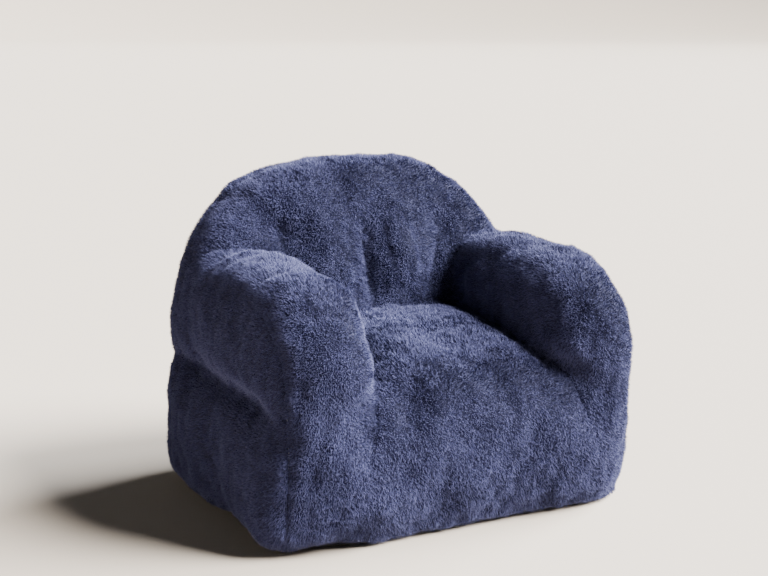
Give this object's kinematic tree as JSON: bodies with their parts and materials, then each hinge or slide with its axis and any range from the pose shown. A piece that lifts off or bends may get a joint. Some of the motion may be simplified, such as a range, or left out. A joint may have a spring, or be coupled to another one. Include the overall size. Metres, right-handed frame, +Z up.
{
  "type": "bean bag chair",
  "caption": "Low plush armchair with no frame: foam-filled seat, tufted back and two fat arms in a sewn fur cover, with a zip low on the rear.",
  "frame": {"origin": "on the floor, under the middle of the chair's outline", "axes": "+X to the sitter's left, +Y to the chair's back, +Z up; the chair faces -Y"},
  "size_m": [0.9626, 0.8395, 0.7999],
  "materials": {
    "fur": "short dense plush pile, navy with paler tips",
    "lining": "plain woven polyester",
    "foam": "shredded polyurethane foam",
    "base_cloth": "coarse non-slip woven cloth",
    "button_cloth": "covered in the same plush as the chair",
    "cord_fibre": "waxed polyester tufting twine",
    "nylon": "dyed nylon",
    "zinc": "gunmetal zinc die casting",
    "label": "blank woven satin"
  },
  "bodies": {
    "chair": {"seat_fur_panel": "fur", "back_inner_fur_panel": "fur", "back_outer_fur_panel": "fur", "base_panel": "base_cloth", "seat_back_baffle": "lining", "seat_liner": "lining", "seat_filling": "foam", "back_liner": "lining", "back_filling": "foam", "right_arm_wrap_fur_panel": "fur", "right_upper_side_fur_panel": "fur", "right_lower_side_fur_panel": "fur", "right_arm_seat_baffle": "lining", "right_arm_back_baffle": "lining", "right_arm_liner": "lining", "right_arm_filling": "foam", "left_arm_wrap_fur_panel": "fur", "left_upper_side_fur_panel": "fur", "left_lower_side_fur_panel": "fur", "left_arm_seat_baffle": "lining", "left_arm_back_baffle": "lining", "left_arm_liner": "lining", "left_arm_filling": "foam", "tuft_button_1": "button_cloth", "tuft_cord_1": "cord_fibre", "tuft_washer_1": "nylon", "tuft_button_2": "button_cloth", "tuft_cord_2": "cord_fibre", "tuft_washer_2": "nylon", "tuft_button_3": "button_cloth", "tuft_cord_3": "cord_fibre", "tuft_washer_3": "nylon", "zip_tape_upper": "nylon", "zip_coil_upper": "nylon", "zip_top_stop_upper": "zinc", "zip_tape_lower": "nylon", "zip_coil_lower": "nylon", "zip_top_stop_lower": "zinc", "zip_bottom_stop": "zinc", "care_label": "label"},
    "zip_slider": {"zip_slider": "zinc"},
    "zip_pull": {"zip_pull_tab": "zinc"}
  },
  "joints": [
    {"name": "zip_slide", "type": "slide", "parent": "chair", "child": "zip_slider", "axis": [1, 0, 0], "range_m": [0, 0.38]},
    {"name": "pull_flip", "type": "hinge", "parent": "zip_slider", "child": "zip_pull", "pos_m": [-0.19, 0.4015, 0.18], "axis": [0, 0, 1], "range_deg": [0, 180]}
  ]
}
